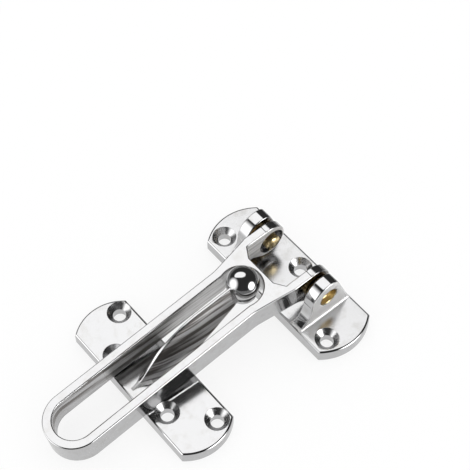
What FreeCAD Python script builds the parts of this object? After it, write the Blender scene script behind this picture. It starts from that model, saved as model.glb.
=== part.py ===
import FreeCAD, Part
import math
import os
import Sketcher

# Swing bar door guard: a hinge plate with two upright ears, a long U-shaped swing bar
# that turns on two pins in those ears, and a keeper plate whose ball stands in the slot.
# Millimetres. The plates' backs lie at Z = 0. X runs from the hinge plate to the bar's loop,
# Y runs along the pins, and the origin is the middle of the hinge plate's back.

SIZES = [
    ("plate_thickness", 5.0, "both mounting plates"),
    ("plate_edge_round", 0.5, "rounding of the plates' upper edges"),
    ("hinge_length", 70.0, "along the pins, over the arched ends"),
    ("hinge_width", 24.2, "across the pins"),
    ("hinge_arch", 18.5, "radius of the arched ends"),
    ("hinge_hole_spacing", 56.0, "between the two end screw holes"),
    ("hinge_hole_front", 6.0, "end screw holes, towards the bar"),
    ("hinge_hole_back", 6.5, "middle screw hole, away from the bar"),
    ("screw_hole", 4.8, "clearance for a number 8 screw"),
    ("screw_sink", 8.7, "mouth of the countersink"),
    ("pin_offset", 1.35, "pin axis behind the plate's middle"),
    ("pin_height", 14.9, "pin axis above the back face"),
    ("ear_radius", 7.8, "rounded top of an ear"),
    ("ear_clearance", 1.8, "ear to knuckle, room for the spacer washer"),
    ("ear_width", 4.6, "thickness of an ear along the pin"),
    ("ear_inset", 0.6, "ear's foot inside the plate's front and back edges"),
    ("ear_shoulder", 118.0, "where the ear's round top ends at the back, degrees"),
    ("ear_shoulder_round", 3.0, "rounding of that shoulder"),
    ("ear_edge_round", 0.4, "rounding of the ears' rims"),
    ("head_radius", 3.8, "pin head, and its bore in the ear"),
    ("head_recess", 0.2, "pin head below the ear's outer face"),
    ("head_cup_depth", 2.2, "depth of the hollow in the pin's head"),
    ("head_cup_mouth", 0.87, "mouth of that hollow, share of the head's radius"),
    ("head_cup_floor", 0.78, "floor of that hollow, share of the head's radius"),
    ("shank_radius", 3.0, "pin shank in the knuckle"),
    ("shank_play", 0.05, "running fit of the shank, on the radius"),
    ("pin_proud", 1.9, "pin end past the knuckle's inner face"),
    ("knuckle_radius", 7.1, "barrel at the end of an arm"),
    ("knuckle_lead", 1.1, "barrel's middle before the pin axis, towards the bar"),
    ("knuckle_rise", 1.1, "barrel's middle above the pin axis"),
    ("knuckle_inset", 0.5, "knuckle's inner face within the bar's outer side"),
    ("knuckle_width", 3.3, "thickness of a knuckle along the pin"),
    ("knuckle_sink_radius", 5.2, "recess round the pin's inner end"),
    ("knuckle_sink_depth", 1.2, "depth of that recess"),
    ("washer_radius", 5.0, "spacer between ear and knuckle"),
    ("washer_play", 0.2, "washer's side clearance at the knuckle"),
    ("washer_bore_play", 0.2, "washer's clearance round the shank"),
    ("bar_length", 105.5, "pin axis to the outside of the loop"),
    ("bar_top", 8.9, "bar's upper face above the pin axis"),
    ("bar_height", 10.5, "depth of the bar's section"),
    ("slot_clearance", 1.55, "slot past the ball, each side"),
    ("leg_width", 3.35, "width of each leg"),
    ("slot_relief", 0.35, "scoop of the slot's hinge end into each leg"),
    ("ball_lead", 1.1, "centre of the slot's hinge end, past the ball"),
    ("web_width", 1.5, "web that closes the slot's hinge end"),
    ("web_half", 6.5, "half the length of the web's straight edge"),
    ("web_slant", 0.6, "slanted ends of the web, share of the way to the knuckles"),
    ("flare_lead", 4.2, "where the legs start to spread, past the ball"),
    ("flare_length", 6.0, "length of the first spread"),
    ("flare_step", 1.0, "first spread of each leg"),
    ("arm_start", 9.0, "arm's start from the pin axis"),
    ("bar_edge_round", 0.45, "rounding of the bar's edges"),
    ("seat_gap", 0.3, "bar above the keeper plate at rest"),
    ("keeper_distance", 61.3, "hinge plate's middle to keeper plate's middle"),
    ("keeper_length", 68.5, "along the pins, over the arched ends"),
    ("keeper_width", 22.4, "along the bar"),
    ("keeper_arch", 16.5, "radius of the arched ends"),
    ("outer_hole_spacing", 54.4, "between the keeper's outer screw holes"),
    ("outer_hole_back", 6.2, "outer screw holes, towards the hinge"),
    ("inner_hole_spacing", 29.0, "between the keeper's inner screw holes"),
    ("inner_hole_front", 5.2, "inner screw holes, towards the loop"),
    ("ball_radius", 6.0, "ball at the end of the horn"),
    ("ball_along", 22.25, "pin axis to the middle of the ball, along the plates"),
    ("ball_height", 22.8, "middle of the ball above the back face"),
    ("neck_radius", 4.4, "groove under the ball"),
    ("neck_drop", 4.3, "groove below the ball's middle"),
    ("collar_radius", 4.9, "round end of the horn under the ball"),
    ("collar_drop", 6.8, "foot of the collar below the ball's middle"),
    ("ridge_half", 0.6, "half the width of the horn's ridge"),
    ("horn_lean", 0.31, "spread of the horn's flanks, per millimetre below the ridge"),
    ("horn_foot_gap", 2.0, "horn's foot behind the plate's front edge"),
    ("horn_tip_ridge", 25.1, "ridge above the back face, at the ball"),
    ("horn_tip_under", 18.4, "underside above the back face, at the ball"),
    ("horn_back_ridge", 21.0, "ridge above the back face, over the plate's back edge"),
    ("horn_back_under", 6.2, "underside above the back face, at the plate's back edge"),
]

# Sizes that follow from the ones above.
DERIVED = [
    ("hinge_half_length", "hinge_length / 2"),
    ("hinge_half_width", "hinge_width / 2"),
    ("hinge_arch_centre", "hinge_half_length - hinge_arch"),
    ("hinge_corner", "hinge_arch_centre + sqrt(hinge_arch ^ 2 - hinge_half_width ^ 2)"),
    ("hinge_hole_end", "hinge_hole_spacing / 2"),
    ("slot_half", "ball_radius + slot_clearance"),
    ("bar_half", "slot_half + leg_width"),
    ("knuckle_inner", "bar_half - knuckle_inset"),
    ("knuckle_outer", "knuckle_inner + knuckle_width"),
    ("ear_inner", "knuckle_outer + ear_clearance"),
    ("ear_outer", "ear_inner + ear_width"),
    ("ear_foot", "hinge_half_width - ear_inset"),
    ("ear_low", "plate_thickness / 2"),
    ("ear_front", "ear_radius - pin_offset"),
    ("ear_rise", "pin_height - plate_thickness"),
    ("ear_run", "ear_foot - ear_front"),
    ("ear_sweep", "(ear_run ^ 2 + ear_rise ^ 2) / (2 * ear_run)"),
    ("ear_sweep_centre", "ear_front + ear_sweep"),
    ("ear_shoulder_x", "ear_radius * cos(ear_shoulder * 1deg) - pin_offset"),
    ("ear_shoulder_z", "ear_radius * sin(ear_shoulder * 1deg) + pin_height"),
    ("screw_hole_radius", "screw_hole / 2"),
    ("shank_bore", "shank_radius + shank_play"),
    ("pin_inner", "knuckle_inner - pin_proud"),
    ("pin_dome", "pin_inner + shank_radius * 0.45"),
    ("pin_inner_rim", "pin_inner + shank_radius * 0.1"),
    ("dome_rim", "shank_radius * 0.6"),
    ("pin_outer", "ear_outer - head_recess"),
    ("cup_floor", "pin_outer - head_cup_depth"),
    ("cup_mouth_radius", "head_radius * head_cup_mouth"),
    ("cup_floor_radius", "head_radius * head_cup_floor"),
    ("washer_bore", "shank_radius + washer_bore_play"),
    ("washer_width", "ear_clearance - washer_play"),
    ("washer_inner", "ear_inner - washer_width"),
    ("loop_centre", "bar_length - bar_half"),
    ("bar_base", "bar_top - bar_height"),
    ("edge_run", "keeper_distance + keeper_width / 2 + pin_offset"),
    ("edge_drop", "pin_height - plate_thickness - seat_gap"),
    ("edge_reach", "sqrt(edge_run ^ 2 + edge_drop ^ 2)"),
    ("bar_tilt", "(atan(edge_drop / edge_run) + asin(bar_base / edge_reach)) / 1deg"),
    ("ball_rise", "ball_height - pin_height"),
    ("ball_in_bar", "ball_along * cos(bar_tilt * 1deg) - ball_rise * sin(bar_tilt * 1deg)"),
    ("scoop_radius", "slot_half + slot_relief"),
    ("scoop_centre", "ball_in_bar + ball_lead"),
    ("scoop_cusp", "scoop_centre + sqrt(scoop_radius ^ 2 - slot_half ^ 2)"),
    ("web_back", "scoop_centre - scoop_radius - web_width"),
    ("web_corner", "web_back - (web_back - arm_start) * web_slant"),
    ("arm_run", "arm_start - knuckle_lead"),
    ("arm_top_rise", "bar_top - knuckle_rise"),
    ("arm_base_rise", "bar_base - knuckle_rise"),
    ("top_reach", "sqrt(arm_run ^ 2 + arm_top_rise ^ 2)"),
    ("top_angle", "atan(arm_top_rise / arm_run) + acos(knuckle_radius / top_reach)"),
    ("knuckle_top_x", "knuckle_lead + knuckle_radius * cos(top_angle)"),
    ("knuckle_top_z", "knuckle_rise + knuckle_radius * sin(top_angle)"),
    ("low_reach", "sqrt(arm_run ^ 2 + arm_base_rise ^ 2)"),
    ("low_angle", "atan(arm_base_rise / arm_run) - acos(knuckle_radius / low_reach)"),
    ("knuckle_low_x", "knuckle_lead + knuckle_radius * cos(low_angle)"),
    ("knuckle_low_z", "knuckle_rise + knuckle_radius * sin(low_angle)"),
    ("sink_face", "knuckle_inner + knuckle_sink_depth"),
    ("recess_reach", "knuckle_sink_depth + 0.5"),
    ("flare_end", "ball_in_bar + flare_lead"),
    ("flare_start", "flare_end - flare_length"),
    ("flare_half", "bar_half + flare_step"),
    ("keeper_half_length", "keeper_length / 2"),
    ("keeper_half_width", "keeper_width / 2"),
    ("keeper_arch_centre", "keeper_half_length - keeper_arch"),
    ("keeper_corner", "keeper_arch_centre + sqrt(keeper_arch ^ 2 - keeper_half_width ^ 2)"),
    ("outer_hole_end", "outer_hole_spacing / 2"),
    ("inner_hole_end", "inner_hole_spacing / 2"),
    ("ball_reach", "keeper_distance + pin_offset - ball_along"),
    ("free_span", "ball_reach - keeper_half_width"),
    ("foot_span", "keeper_width - horn_foot_gap"),
    ("ridge_rise", "horn_back_ridge - plate_thickness"),
    ("neck_z", "ball_height - neck_drop"),
    ("ball_neck_z", "ball_height - sqrt(ball_radius ^ 2 - neck_radius ^ 2)"),
    ("ball_crown", "ball_height + ball_radius"),
    ("collar_z", "ball_height - collar_drop"),
    ("collar_shoulder", "neck_z - 0.4"),
    ("collar_bevel", "collar_z + 0.8"),
    ("collar_foot", "collar_radius - 0.8"),
    ("horn_bed", "plate_thickness * 0.5"),
]

# Horn sections ahead of the keeper plate: share of the way from the ball to the plate's
# back edge, and share of the ridge's and the underside's fall on that way.
FREE_SECTIONS = [
    (0.08, 0.0, 0.0),
    (0.45, 0.25, 0.36),
    (0.78, 0.45, 0.68),
]

# Horn sections over the plate: share of the way from its back edge to the horn's foot,
# and the ridge's height over the plate as a share of its height at the back edge.
FOOT_SECTIONS = [
    (0.07, 0.96),
    (0.36, 0.75),
    (0.63, 0.39),
    (0.83, 0.11),
    (1.0, -0.04),
]

doc = FreeCAD.newDocument("door_guard")
sheet = doc.addObject("Spreadsheet::Sheet", "Sizes")


def add_cell(row, alias, content, note=""):
    """One named value of the sheet."""
    sheet.set("A%d" % row, alias)
    sheet.set("B%d" % row, content)
    sheet.set("C%d" % row, note)
    sheet.setAlias("B%d" % row, alias)


def fill_sheet():
    """Writes the driving sizes, then the ones that follow from them."""
    row = 1
    for alias, value, note in SIZES:
        add_cell(row, alias, str(value), note)
        row += 1
    for alias, formula in DERIVED:
        add_cell(row, alias, "=" + formula)
        row += 1
    for index, (share, ridge, under) in enumerate(FREE_SECTIONS):
        drop = "(horn_tip_ridge - horn_back_ridge)"
        fall = "(horn_tip_under - horn_back_under)"
        add_cell(row, "station_%d" % index, "=-ball_reach + free_span * %s" % share)
        add_cell(row + 1, "ridge_%d" % index, "=horn_tip_ridge - %s * %s" % (drop, ridge))
        add_cell(row + 2, "under_%d" % index, "=horn_tip_under - %s * %s" % (fall, under))
        row += 3
    for index, (share, ridge) in enumerate(FOOT_SECTIONS, start=len(FREE_SECTIONS)):
        add_cell(row, "station_%d" % index, "=-keeper_half_width + foot_span * %s" % share)
        add_cell(row + 1, "ridge_%d" % index, "=plate_thickness + ridge_rise * %s" % ridge)
        add_cell(row + 2, "under_%d" % index, "=horn_bed")
        row += 3
    for index in range(len(FREE_SECTIONS) + len(FOOT_SECTIONS)):
        spread = "ridge_half + horn_lean * (ridge_%d - under_%d)" % (index, index)
        add_cell(row, "spread_%d" % index, "=" + spread)
        row += 1


fill_sheet()
doc.recompute()


def size(term):
    """The number behind a term: 0, an alias, or an alias with a minus sign."""
    if not term:
        return 0.0
    sign = -1.0 if term.startswith("-") else 1.0
    value = getattr(sheet, term.lstrip("-"))
    return sign * float(getattr(value, "Value", value))


def formula(term):
    """The expression that ties a property to that term."""
    if not term:
        return "0"
    return term.replace("-", "-Sizes.") if term.startswith("-") else "Sizes." + term


def bind(thing, prop, term):
    """Ties a property of a feature to the sheet."""
    thing.setExpression(prop, formula(term))


def new_body(name):
    """An empty body whose label names its file."""
    body = doc.addObject("PartDesign::Body", name)
    body.Label = name
    return body


def new_sketch(body, name, plane, lift=None, shift=None):
    """A sketch on one of the body's origin planes, moved by named values."""
    sketch = body.newObject("Sketcher::SketchObject", name)
    support = [f for f in body.Origin.OriginFeatures if f.Role == plane][0]
    sketch.AttachmentSupport = [(support, "")]
    sketch.MapMode = "FlatFace"
    if lift:
        bind(sketch, "AttachmentOffset.Base.z", lift)
    if shift:
        bind(sketch, "AttachmentOffset.Base.x", shift[0])
        bind(sketch, "AttachmentOffset.Base.y", shift[1])
    return sketch


def lock(sketch, kind, *refs, term):
    """Adds a dimension and ties it to the sheet."""
    index = sketch.addConstraint(Sketcher.Constraint(kind, *refs, size(term)))
    name = "dim_%d" % index
    sketch.renameConstraint(index, name)
    bind(sketch, "Constraints." + name, term)


def pin_point(sketch, geo, pos, x_term, y_term):
    """Fixes a point of the sketch at named coordinates."""
    for kind, axis, term in (("DistanceX", -2, x_term), ("DistanceY", -1, y_term)):
        if term:
            lock(sketch, kind, -1, 1, geo, pos, term=term)
        else:
            sketch.addConstraint(Sketcher.Constraint("PointOnObject", geo, pos, axis))


def draw_circle(sketch, x_term, y_term, radius_term):
    """A circle at a named place with a named radius."""
    centre = FreeCAD.Vector(size(x_term), size(y_term), 0)
    circle = Part.Circle(centre, FreeCAD.Vector(0, 0, 1), size(radius_term))
    geo = sketch.addGeometry(circle)
    pin_point(sketch, geo, 3, x_term, y_term)
    lock(sketch, "Radius", geo, term=radius_term)


def draw_outline(sketch, corners):
    """A closed outline.

    Each corner is (x, y) for a straight side to the next corner, or
    (x, y, turn, centre_x, centre_y, axis) for an arc about that centre; turn is +1 for
    anticlockwise, and axis says which of the centre's coordinates is dimensioned.
    """
    ends = []
    for index, corner in enumerate(corners):
        after = corners[(index + 1) % len(corners)]
        here = FreeCAD.Vector(size(corner[0]), size(corner[1]), 0)
        there = FreeCAD.Vector(size(after[0]), size(after[1]), 0)
        if len(corner) == 2:
            geo = sketch.addGeometry(Part.LineSegment(here, there))
            ends.append((geo, 1, 2))
            continue
        turn = corner[2]
        centre = FreeCAD.Vector(size(corner[3]), size(corner[4]), 0)
        circle = Part.Circle(centre, FreeCAD.Vector(0, 0, 1), (here - centre).Length)
        first, last = (here, there) if turn > 0 else (there, here)
        angles = [math.atan2(p.y - centre.y, p.x - centre.x) for p in (first, last)]
        if angles[1] <= angles[0]:
            angles[1] += 2 * math.pi
        geo = sketch.addGeometry(Part.ArcOfCircle(circle, angles[0], angles[1]))
        ends.append((geo, 1, 2) if turn > 0 else (geo, 2, 1))
    for index, (geo, start, end) in enumerate(ends):
        following = ends[(index + 1) % len(ends)]
        sketch.addConstraint(
            Sketcher.Constraint("Coincident", geo, end, following[0], following[1]))
    for corner, (geo, start, end) in zip(corners, ends):
        pin_point(sketch, geo, start, corner[0], corner[1])
        if len(corner) == 6:
            kind = "DistanceX" if corner[5] == "x" else "DistanceY"
            term = corner[3] if corner[5] == "x" else corner[4]
            if term:
                lock(sketch, kind, -1, 1, geo, 3, term=term)
            else:
                axis = -2 if corner[5] == "x" else -1
                sketch.addConstraint(Sketcher.Constraint("PointOnObject", geo, 3, axis))


def pad(body, name, sketch, length_term):
    """Material from a sketch, along its normal."""
    feature = body.newObject("PartDesign::Pad", name)
    feature.Profile = sketch
    bind(feature, "Length", length_term)
    body.Tip = feature
    return feature


def pocket_both_ways(body, name, sketch):
    """A cut from a sketch through everything on both of its sides."""
    feature = body.newObject("PartDesign::Pocket", name)
    feature.Profile = sketch
    feature.Type = "ThroughAll"
    feature.SideType = "Symmetric"
    body.Tip = feature
    return feature


def mirror(body, name, features, plane):
    """Repeats features on the other side of one of the body's origin planes."""
    doc.recompute()
    feature = body.newObject("PartDesign::Mirrored", name)
    feature.Originals = features
    support = [f for f in body.Origin.OriginFeatures if f.Role == plane][0]
    feature.MirrorPlane = (support, [""])
    body.Tip = feature
    return feature


def sink_holes(body, name, sketch):
    """Countersunk screw holes at the circles of a sketch on the plate's upper face."""
    doc.recompute()
    feature = body.newObject("PartDesign::Hole", name)
    feature.Profile = sketch
    feature.ThreadType = "None"
    feature.DepthType = "ThroughAll"
    bind(feature, "Diameter", "screw_hole")
    feature.HoleCutType = "Countersink"
    feature.HoleCutCustomValues = True
    bind(feature, "HoleCutDiameter", "screw_sink")
    feature.HoleCutCountersinkAngle = 90
    body.Tip = feature
    return feature


def round_edges(body, name, radius_term, chosen):
    """Rounds every edge of the body that the test picks."""
    doc.recompute()
    base = body.Tip
    edges = ["Edge%d" % (i + 1) for i, e in enumerate(base.Shape.Edges) if chosen(e)]
    feature = body.newObject("PartDesign::Fillet", name)
    feature.Base = (base, edges)
    bind(feature, "Radius", radius_term)
    body.Tip = feature
    doc.recompute()
    return feature


def on_level(edge, height):
    """True for an edge that lies flat at that height."""
    box = edge.BoundBox
    return abs(box.ZMin - height) < 1e-4 and abs(box.ZMax - height) < 1e-4


def inside(edge, x_limit, y_limit):
    """True for an edge whose box stays within these distances from the middle."""
    box = edge.BoundBox
    wide = max(abs(box.XMin), abs(box.XMax))
    deep = max(abs(box.YMin), abs(box.YMax))
    return wide < x_limit and deep < y_limit


def arched_plate(body, half_width, corner, arch_centre):
    """The plate: straight sides across the bar, arched ends."""
    outline = new_sketch(body, body.Name + "_outline", "XY_Plane")
    draw_outline(outline, [
        (half_width, "-" + corner),
        (half_width, corner, 1, None, arch_centre, "y"),
        ("-" + half_width, corner),
        ("-" + half_width, "-" + corner, 1, None, "-" + arch_centre, "y"),
    ])
    pad(body, body.Name + "_plate", outline, "plate_thickness")


def plate_holes(body, places):
    """The plate's countersunk screw holes."""
    doc.recompute()
    centres = new_sketch(body, body.Name + "_screws", "XY_Plane", lift="plate_thickness")
    for x_term, y_term in places:
        draw_circle(centres, x_term, y_term, "screw_hole_radius")
    sink_holes(body, body.Name + "_holes", centres)


def make_hinge_plate():
    """Hinge plate: arched plate and two ears with bores for the pins."""
    body = new_body("hinge_plate")
    arched_plate(body, "hinge_half_width", "hinge_corner", "hinge_arch_centre")
    profile = new_sketch(body, "ear_profile", "XZ_Plane", lift="-ear_outer")
    draw_outline(profile, [
        ("ear_foot", "ear_low"),
        ("ear_foot", "plate_thickness", -1, "ear_sweep_centre", "pin_height", "y"),
        ("ear_front", "pin_height", 1, "-pin_offset", "pin_height", "x"),
        ("ear_shoulder_x", "ear_shoulder_z"),
        ("-ear_foot", "plate_thickness"),
        ("-ear_foot", "ear_low"),
    ])
    ear = pad(body, "ear", profile, "ear_width")
    mirror(body, "other_ear", [ear], "XZ_Plane")
    shoulder = size("ear_shoulder_x"), size("ear_shoulder_z")

    def is_shoulder(edge):
        box = edge.BoundBox
        across = box.XLength < 1e-4 and box.ZLength < 1e-4
        return across and abs(box.XMin - shoulder[0]) + abs(box.ZMin - shoulder[1]) < 1e-3

    def is_rim(edge):
        box = edge.BoundBox
        faces = (size("ear_inner"), size("ear_outer"))
        on_face = any(abs(abs(box.YMin) - y) < 1e-4 for y in faces)
        return box.YLength < 1e-4 and on_face and box.ZMax > size("plate_thickness") + 0.01

    def is_plate_edge(edge):
        return on_level(edge, size("plate_thickness")) and not inside(
            edge, size("ear_foot") + 0.01, size("ear_outer") + 0.01)

    round_edges(body, "shoulder_round", "ear_shoulder_round", is_shoulder)
    round_edges(body, "rim_round", "ear_edge_round", is_rim)
    round_edges(body, "plate_round", "plate_edge_round", is_plate_edge)
    bores = new_sketch(body, "ear_bores", "XZ_Plane")
    draw_circle(bores, "-pin_offset", "pin_height", "head_radius")
    pocket_both_ways(body, "bores", bores)
    plate_holes(body, [
        ("hinge_hole_front", "hinge_hole_end"),
        ("hinge_hole_front", "-hinge_hole_end"),
        ("-hinge_hole_back", None),
    ])
    return body


def make_swing_bar():
    """Swing bar: looped bar with a slot, two spreading arms and their knuckles.

    It is drawn about the pin axis with the bar level, then laid down on the keeper plate.
    """
    body = new_body("swing_bar")
    outline = new_sketch(body, "bar_outline", "XY_Plane", lift="bar_base")
    draw_outline(outline, [
        ("arm_start", "-knuckle_outer"),
        ("flare_start", "-flare_half"),
        ("flare_end", "-bar_half"),
        ("loop_centre", "-bar_half", 1, "loop_centre", None, "x"),
        ("loop_centre", "bar_half"),
        ("flare_end", "bar_half"),
        ("flare_start", "flare_half"),
        ("arm_start", "knuckle_outer"),
        ("arm_start", "knuckle_inner"),
        ("web_corner", "knuckle_inner"),
        ("web_back", "web_half"),
        ("web_back", "-web_half"),
        ("web_corner", "-knuckle_inner"),
        ("arm_start", "-knuckle_inner"),
    ])
    pad(body, "bar", outline, "bar_height")
    doc.recompute()
    slot = new_sketch(body, "slot_outline", "XY_Plane")
    draw_outline(slot, [
        ("scoop_cusp", "-slot_half"),
        ("loop_centre", "-slot_half", 1, "loop_centre", None, "x"),
        ("loop_centre", "slot_half"),
        ("scoop_cusp", "slot_half", 1, "scoop_centre", None, "x"),
    ])
    pocket_both_ways(body, "slot", slot)
    doc.recompute()
    profile = new_sketch(body, "knuckle_profile", "XZ_Plane", lift="-knuckle_outer")
    draw_outline(profile, [
        ("arm_start", "bar_base"),
        ("arm_start", "bar_top"),
        ("knuckle_top_x", "knuckle_top_z", 1, "knuckle_lead", "knuckle_rise", "x"),
        ("knuckle_low_x", "knuckle_low_z"),
    ])
    knuckle = pad(body, "knuckle", profile, "knuckle_width")
    mirror(body, "other_knuckle", [knuckle], "XZ_Plane")

    def is_bar_rim(edge):
        level = on_level(edge, size("bar_top")) or on_level(edge, size("bar_base"))
        return level and edge.BoundBox.XMax > size("arm_start") + 0.01

    round_edges(body, "bar_round", "bar_edge_round", is_bar_rim)
    bores = new_sketch(body, "knuckle_bores", "XZ_Plane")
    draw_circle(bores, None, None, "shank_bore")
    pocket_both_ways(body, "pin_bores", bores)
    sinks = new_sketch(body, "knuckle_sinks", "XZ_Plane", lift="-sink_face")
    draw_circle(sinks, None, None, "knuckle_sink_radius")
    recess = body.newObject("PartDesign::Pocket", "pin_recess")
    recess.Profile = sinks
    bind(recess, "Length", "recess_reach")
    recess.Reversed = True
    body.Tip = recess
    doc.recompute()
    mirror(body, "other_recess", [recess], "XZ_Plane")
    body.Placement = FreeCAD.Placement(
        FreeCAD.Vector(0, 0, 0), FreeCAD.Rotation(FreeCAD.Vector(0, 1, 0), size("bar_tilt")))
    bind(body, "Placement.Base.x", "-pin_offset")
    bind(body, "Placement.Base.z", "pin_height")
    bind(body, "Placement.Rotation.Angle", "bar_tilt")
    return body


def horn_section(body, index):
    """One cross-section of the horn: a narrow ridge over two leaning flanks."""
    name = "section_%d" % index
    station = "station_%d" % index
    section = new_sketch(body, name, "YZ_Plane", lift=station)
    draw_outline(section, [
        ("-spread_%d" % index, "under_%d" % index),
        ("spread_%d" % index, "under_%d" % index),
        ("ridge_half", "ridge_%d" % index),
        ("-ridge_half", "ridge_%d" % index),
    ])
    return section


def make_keeper_plate():
    """Keeper plate: arched plate, the horn rising from it, and the ball at the horn's end."""
    body = new_body("keeper_plate")
    arched_plate(body, "keeper_half_width", "keeper_corner", "keeper_arch_centre")
    round_edges(body, "keeper_round", "plate_edge_round",
                lambda edge: on_level(edge, size("plate_thickness")))
    sections = [horn_section(body, i) for i in range(len(FREE_SECTIONS) + len(FOOT_SECTIONS))]
    doc.recompute()
    shared = len(FREE_SECTIONS)
    for name, chosen in (("horn_foot", sections[shared:]), ("horn_arm", sections[:shared + 1])):
        loft = body.newObject("PartDesign::AdditiveLoft", name)
        loft.Profile = chosen[0]
        loft.Sections = chosen[1:]
        loft.Ruled = False
        body.Tip = loft
        doc.recompute()
    profile = new_sketch(body, "ball_profile", "XZ_Plane", shift=("-ball_reach", None))
    draw_outline(profile, [
        (None, "collar_z"),
        ("collar_foot", "collar_z"),
        ("collar_radius", "collar_bevel"),
        ("collar_radius", "collar_shoulder"),
        ("neck_radius", "neck_z"),
        ("neck_radius", "ball_neck_z", 1, None, "ball_height", "y"),
        (None, "ball_crown"),
    ])
    ball = body.newObject("PartDesign::Revolution", "ball")
    ball.Profile = profile
    ball.ReferenceAxis = (profile, ["V_Axis"])
    ball.Angle = 360
    body.Tip = ball
    plate_holes(body, [
        ("-outer_hole_back", "outer_hole_end"),
        ("-outer_hole_back", "-outer_hole_end"),
        ("inner_hole_front", "inner_hole_end"),
        ("inner_hole_front", "-inner_hole_end"),
    ])
    bind(body, "Placement.Base.x", "keeper_distance")
    return body


def turned(name, corners, turn):
    """A body turned about the pin axis; turn is which way its profile points along Y."""
    body = new_body(name)
    profile = new_sketch(body, name + "_profile", "YZ_Plane")
    if turn < 0:
        corners = [mirrored(c) for c in corners]
    draw_outline(profile, corners)
    feature = body.newObject("PartDesign::Revolution", name + "_turn")
    feature.Profile = profile
    feature.ReferenceAxis = (profile, ["H_Axis"])
    feature.Angle = 360
    body.Tip = feature
    bind(body, "Placement.Base.x", "-pin_offset")
    bind(body, "Placement.Base.z", "pin_height")
    return body


def mirrored(corner):
    """The same corner on the other side of the door guard's middle."""
    other = ["-" + corner[0], corner[1]]
    if len(corner) == 6:
        other += [-corner[2], "-" + corner[3], corner[4], corner[5]]
    return tuple(other)


def make_pin(name, turn):
    """Hinge pin: shank with a domed inner end, larger head with a hollow outer end."""
    return turned(name, [
        ("pin_inner", None),
        ("cup_floor", None),
        ("cup_floor", "cup_floor_radius"),
        ("pin_outer", "cup_mouth_radius"),
        ("pin_outer", "head_radius"),
        ("ear_inner", "head_radius"),
        ("ear_inner", "shank_radius"),
        ("pin_dome", "shank_radius"),
        ("pin_inner_rim", "dome_rim"),
    ], turn)


def make_washer(name, turn):
    """Spacer washer on the shank, against the ear."""
    return turned(name, [
        ("washer_inner", "washer_bore"),
        ("washer_inner", "washer_radius"),
        ("ear_inner", "washer_radius"),
        ("ear_inner", "washer_bore"),
    ], turn)


make_hinge_plate()
make_swing_bar()
make_keeper_plate()
for side, turn in (("left", -1), ("right", 1)):
    make_pin(side + "_pin", turn)
    make_washer(side + "_washer", turn)
doc.recompute()

faults = [o.Name for o in doc.Objects if "Invalid" in o.State or "Error" in o.State]
bodies = [o for o in doc.Objects if o.TypeId == "PartDesign::Body"]
for body in bodies:
    if body.Shape.isNull() or not body.Shape.isValid() or len(body.Shape.Solids) != 1:
        faults.append(body.Label)
if faults:
    raise ValueError("faulty: " + ", ".join(faults))

os.makedirs("parts", exist_ok=True)
for body in bodies:
    body.Shape.exportStep("parts/%s.step" % body.Label)
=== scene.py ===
"""Swing bar door guard: polished castings, brass pins and washers on a pale floor."""
import logging
import math
from dataclasses import dataclass, field
from enum import Enum
from typing import Callable, Iterable, NamedTuple, Sequence

import bmesh
import bpy
from mathutils import Matrix, Vector


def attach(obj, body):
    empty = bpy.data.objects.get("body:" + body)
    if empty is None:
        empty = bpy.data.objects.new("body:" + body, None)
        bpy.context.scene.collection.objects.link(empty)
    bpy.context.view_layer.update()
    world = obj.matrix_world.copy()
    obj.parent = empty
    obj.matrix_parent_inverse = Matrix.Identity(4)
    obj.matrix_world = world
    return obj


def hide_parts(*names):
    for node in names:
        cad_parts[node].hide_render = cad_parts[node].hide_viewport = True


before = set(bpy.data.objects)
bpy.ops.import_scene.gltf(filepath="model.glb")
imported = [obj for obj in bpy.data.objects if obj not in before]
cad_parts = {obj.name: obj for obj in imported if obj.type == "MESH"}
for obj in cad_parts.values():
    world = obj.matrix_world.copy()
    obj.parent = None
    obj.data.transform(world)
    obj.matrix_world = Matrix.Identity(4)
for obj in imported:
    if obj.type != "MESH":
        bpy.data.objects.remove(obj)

LOG = logging.getLogger("door_guard")

MM = 0.001
DOUBLES = 0.0005
LEAST_COSINE = 0.35
SPIN_STEPS = 96
WHITE = (1.0, 1.0, 1.0, 1.0)


class Grade(NamedTuple):
    """How a face is finished.

    Attributes:
        satin: 0 for polished, 1 for brushed, more where it is rougher still.
            From 0.6 up it also paints the face paler, a painted light.
        streaks_and_shade: Strength of the dark streaks, also used as painted shade in recesses,
            gaps and the slot.
    """

    satin: float = 0.0
    streaks_and_shade: float = 0.0


Point = tuple[float, float]
Triple = tuple[float, float, float]
Colour = Triple
Ring = list[bmesh.types.BMVert]
Grader = Callable[[Vector, Vector], Grade]


class Body(Enum):
    """The bodies that a piece can ride on."""

    BASE = "base"
    BAR = "bar"


class Metal(Enum):
    """The record's material slots."""

    CHROME = "chrome"
    BRASS = "brass"


# Plane outlines


def arc(centre: Point, radius: float, start: float, end: float, steps: int = 40) -> list[Point]:
    """Points along an arc.

    Args:
        centre: Middle of the circle.
        radius: Its radius.
        start: First angle in degrees.
        end: Last angle in degrees.
        steps: Number of chords.

    Returns:
        steps + 1 points, both ends included.
    """
    points = []
    for index in range(steps + 1):
        angle = math.radians(start + (end - start) * index / steps)
        points.append((centre[0] + radius * math.cos(angle), centre[1] + radius * math.sin(angle)))
    return points


def circle(centre: Point, radius: float) -> list[Point]:
    """Points round a full circle, the first not repeated."""
    return arc(centre, radius, 0.0, 360.0, SPIN_STEPS)[:-1]


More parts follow.
